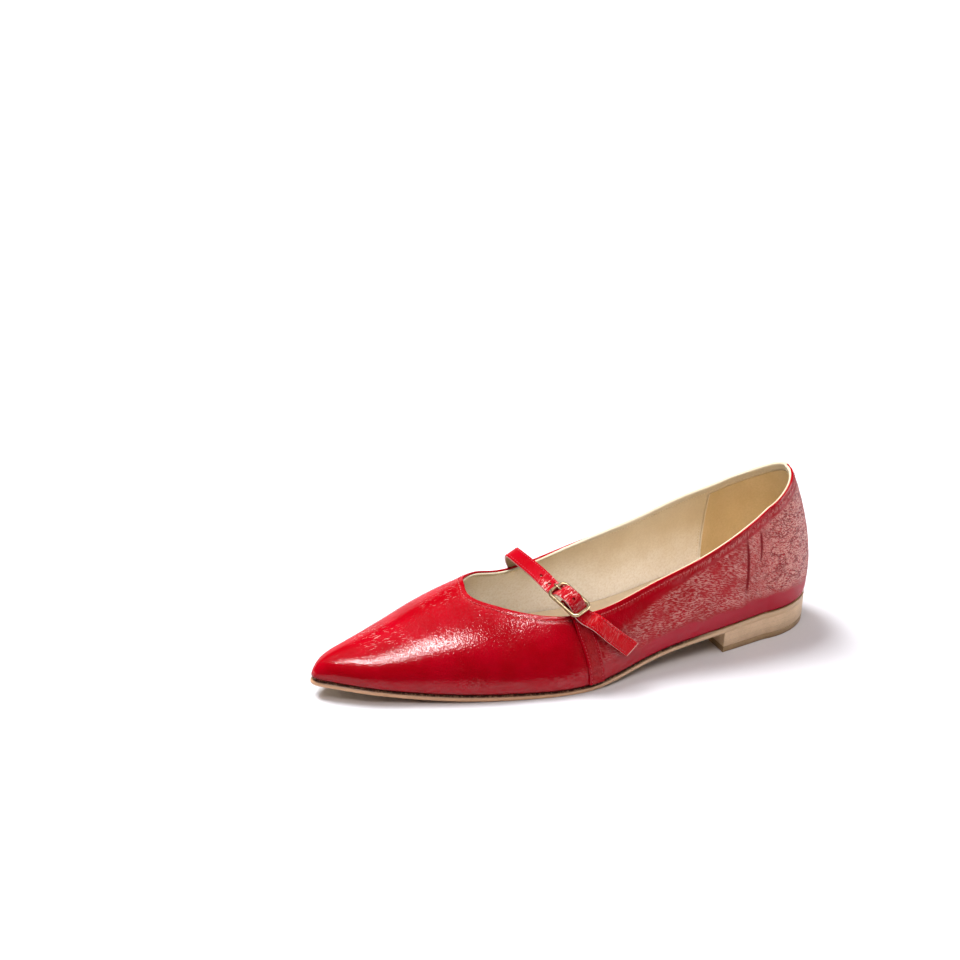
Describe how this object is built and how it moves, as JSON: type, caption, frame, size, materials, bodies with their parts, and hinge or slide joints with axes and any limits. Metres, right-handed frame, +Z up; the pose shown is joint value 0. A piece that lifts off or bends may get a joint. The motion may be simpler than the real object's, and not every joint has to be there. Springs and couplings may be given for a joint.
{
  "type": "ballet flat",
  "caption": "Left pointed-toe ballet flat in glossy crinkled leather with a buckled instep strap, thin leather sole and low stacked heel.",
  "frame": {"origin": "on the floor under the middle of the whole shoe's box, between the forefoot's flat and the heel", "axes": "+Z up from the floor, -Y towards the toe, +X towards the outer side of the left foot"},
  "size_m": [0.0774, 0.2631, 0.0778],
  "materials": {
    "upper_leather": "glossy crinkled, pale red, coated",
    "sole_leather": "smooth veg-tanned, waxed edge",
    "heel_leather": "stacked layers, sanded, matte",
    "lift": "matte",
    "lining_leather": "smooth, satin",
    "buckle_metal": "pale gold plate, polished"
  },
  "bodies": {
    "root": {"upper": "upper_leather", "outsole": "sole_leather", "heel_stack": "heel_leather", "top_lift": "lift", "insole": "lining_leather", "strap": "upper_leather", "chape_band": "upper_leather", "buckle_frame": "buckle_metal", "buckle_prong": "buckle_metal"}
  },
  "joints": []
}
